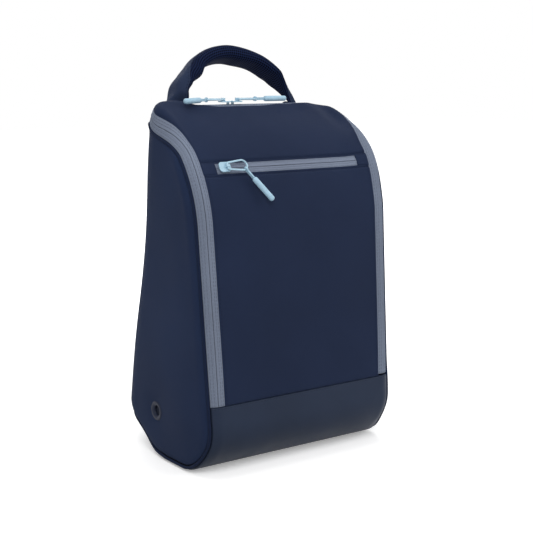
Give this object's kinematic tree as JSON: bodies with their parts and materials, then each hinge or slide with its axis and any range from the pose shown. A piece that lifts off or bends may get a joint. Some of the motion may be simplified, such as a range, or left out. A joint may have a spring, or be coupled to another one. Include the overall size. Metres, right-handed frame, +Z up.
{
  "type": "shoe bag",
  "caption": "Upright soft shoe bag with a full zipped front flap, a zipped front pocket, vent eyelets and a padded carry handle on top.",
  "frame": {"origin": "bottom centre of the bounding box, on the ground under the bag", "axes": "+X to the bag's right as its owner faces the front flap from inside, -Y out of the front flap, +Y out of the back, +Z up"},
  "size_m": [0.245, 0.1788, 0.4177],
  "materials": {
    "shell_fabric": "matt woven shell cloth",
    "front_fabric": "matt woven shell cloth",
    "guard_cloth": "smooth coated cloth",
    "piping": "matt piping",
    "lining": "thin lining cloth",
    "stiffener": "stiff board",
    "zip_tape": "woven zip tape",
    "zip_coil": "nylon coil",
    "zip_metal": "satin enamel",
    "pull_rubber": "soft moulded plastic",
    "eyelet_metal": "satin enamel",
    "handle_cloth": "matt woven cloth",
    "handle_foam": "soft foam",
    "handle_mesh": "air mesh"
  },
  "bodies": {
    "bag": {"side_panel_left": "shell_fabric", "side_panel_right": "shell_fabric", "back_panel": "shell_fabric", "front_guard": "guard_cloth", "base_panel": "guard_cloth", "edge_piping": "piping", "body_lining": "lining", "base_board": "stiffener", "main_zip_tape_body": "zip_tape", "main_zip_coil_body": "zip_coil", "eyelet_left": "eyelet_metal", "eyelet_washer_left": "eyelet_metal", "eyelet_right": "eyelet_metal", "eyelet_washer_right": "eyelet_metal", "handle_anchor_left": "shell_fabric", "handle_anchor_right": "shell_fabric"},
    "flap": {"front_panel_lower": "front_fabric", "front_panel_upper": "front_fabric", "main_zip_tape_flap": "zip_tape", "main_zip_coil_flap": "zip_coil", "pocket_end_left": "front_fabric", "pocket_end_right": "front_fabric", "pocket_zip_tape_upper": "zip_tape", "pocket_zip_tape_lower": "zip_tape", "pocket_zip_coil_upper": "zip_coil", "pocket_zip_coil_lower": "zip_coil", "pocket_lining": "lining", "flap_lining": "lining"},
    "handle": {"handle_cover": "handle_cloth", "handle_foam": "handle_foam", "handle_mesh": "handle_mesh"},
    "slider_left": {"zip_slider_left": "zip_metal"},
    "ring_left": {"pull_ring_left": "zip_metal"},
    "pull_left": {"pull_link_left": "pull_rubber", "pull_tab_left": "pull_rubber"},
    "slider_right": {"zip_slider_right": "zip_metal"},
    "ring_right": {"pull_ring_right": "zip_metal"},
    "pull_right": {"pull_link_right": "pull_rubber", "pull_tab_right": "pull_rubber"},
    "slider_pocket": {"zip_slider_pocket": "zip_metal"},
    "ring_pocket": {"pull_ring_pocket": "zip_metal"},
    "pull_pocket": {"pull_link_pocket": "pull_rubber", "pull_tab_pocket": "pull_rubber"}
  },
  "joints": [
    {"name": "flap_fold", "type": "hinge", "parent": "bag", "child": "flap", "pos_m": [0, -0.0877, 0.07225], "axis": [1, 0, 0], "range_deg": [0, 100]},
    {"name": "handle_tilt", "type": "hinge", "parent": "bag", "child": "handle", "pos_m": [0, 0.0345, 0.34895], "axis": [-1, 0, 0], "range_deg": [-20, 60], "stiffness_Nm_per_rad": 0.8},
    {"name": "slider_travel_right", "type": "slide", "parent": "bag", "child": "slider_right", "axis": [1, 0, 0], "range_m": [0, 0.088]},
    {"name": "slider_travel_left", "type": "slide", "parent": "bag", "child": "slider_left", "axis": [-1, 0, 0], "range_m": [0, 0.05]},
    {"name": "slider_travel_pocket", "type": "slide", "parent": "flap", "child": "slider_pocket", "axis": [1, 0, 0], "range_m": [0, 0.157]},
    {"name": "ring_flip_right", "type": "hinge", "parent": "slider_right", "child": "ring_right", "pos_m": [-0.0117, 0.01579, 0.36177], "axis": [0, -0.9994, -0.036], "range_deg": [0, 150]},
    {"name": "ring_flip_left", "type": "hinge", "parent": "slider_left", "child": "ring_left", "pos_m": [-0.0293, 0.01579, 0.36177], "axis": [0, 0.9994, 0.036], "range_deg": [0, 150]},
    {"name": "ring_flip_pocket", "type": "hinge", "parent": "slider_pocket", "child": "ring_pocket", "pos_m": [-0.0752, -0.06017, 0.30083], "axis": [0, -0.5135, -0.8581], "range_deg": [0, 150]},
    {"name": "pull_swing_right", "type": "hinge", "parent": "ring_right", "child": "pull_right", "pos_m": [0.0054, 0.01579, 0.36177], "axis": [0, -0.036, 0.9994], "range_deg": [-75, 75]},
    {"name": "pull_swing_left", "type": "hinge", "parent": "ring_left", "child": "pull_left", "pos_m": [-0.0464, 0.01579, 0.36177], "axis": [0, -0.036, 0.9994], "range_deg": [-35, 60]},
    {"name": "pull_swing_pocket", "type": "hinge", "parent": "ring_pocket", "child": "pull_pocket", "pos_m": [-0.0581, -0.06017, 0.30083], "axis": [0, -0.8581, 0.5135], "range_deg": [-15, 135]}
  ]
}
